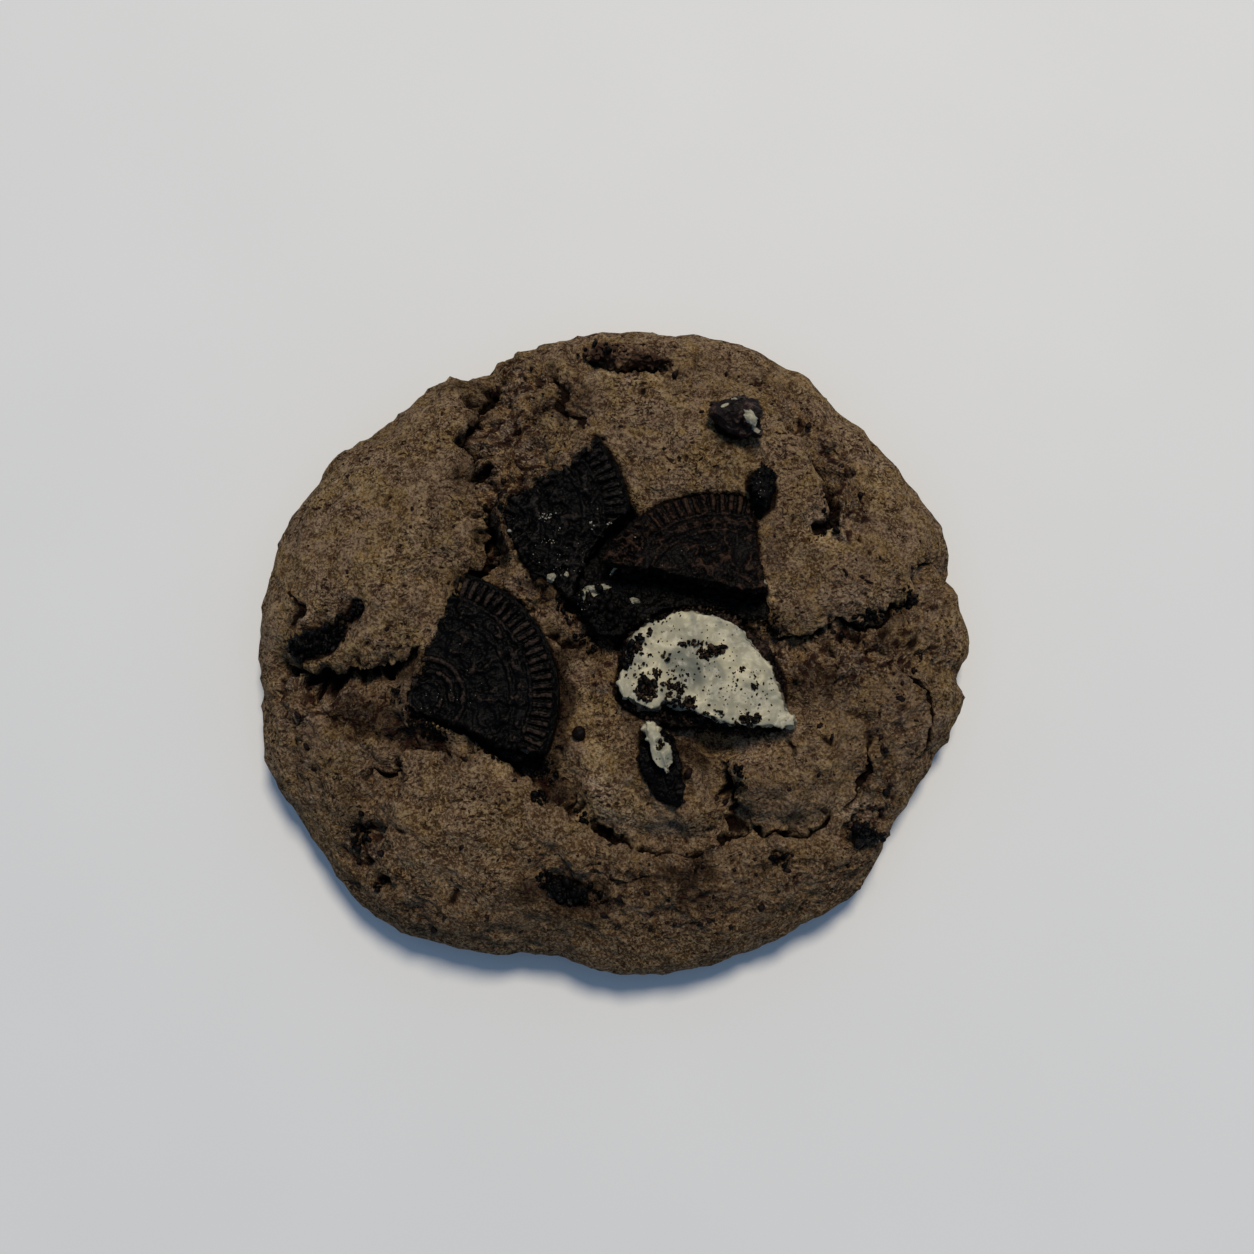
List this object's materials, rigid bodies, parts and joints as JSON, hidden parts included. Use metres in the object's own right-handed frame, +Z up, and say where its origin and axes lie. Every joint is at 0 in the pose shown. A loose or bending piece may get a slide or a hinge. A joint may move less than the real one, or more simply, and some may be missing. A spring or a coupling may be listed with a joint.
{
  "type": "chocolate cookie with sandwich biscuit pieces",
  "caption": "Thick round chocolate drop cookie with broken dark sandwich biscuits and vanilla cream baked into its cracked, domed top.",
  "frame": {"origin": "on the table, under the middle of the cookie's bounding box", "axes": "+X to the cookie's right along its longest extent, +Y away from the eater, +Z up through its thickness"},
  "size_m": [0.1244, 0.1146, 0.0236],
  "materials": {
    "dough": "baked cocoa cookie dough: dull, fine-grained grey-brown crust with dark specks and cracks",
    "biscuit": "near-black dark cocoa biscuit, embossed, dry, with a faint oily sheen",
    "cream": "pale vanilla cream, soft satin, dusted with dark crumbs",
    "chunk": "dark chocolate lump, rough, slightly glossy"
  },
  "bodies": {
    "root": {"dough": "dough", "wafer_left": "biscuit", "wafer_top": "biscuit", "wafer_mid": "biscuit", "cream_left": "cream", "base_left": "biscuit", "cream_mid": "cream", "base_mid": "biscuit", "cream_disc": "cream", "base_disc": "biscuit", "shard_upright": "biscuit", "cream_upright": "cream", "nugget": "biscuit", "crumb_lump": "biscuit", "chunk_left": "chunk", "chunk_inner": "chunk", "chunk_back": "chunk", "chunk_front": "chunk", "chunk_right": "chunk"}
  },
  "joints": []
}
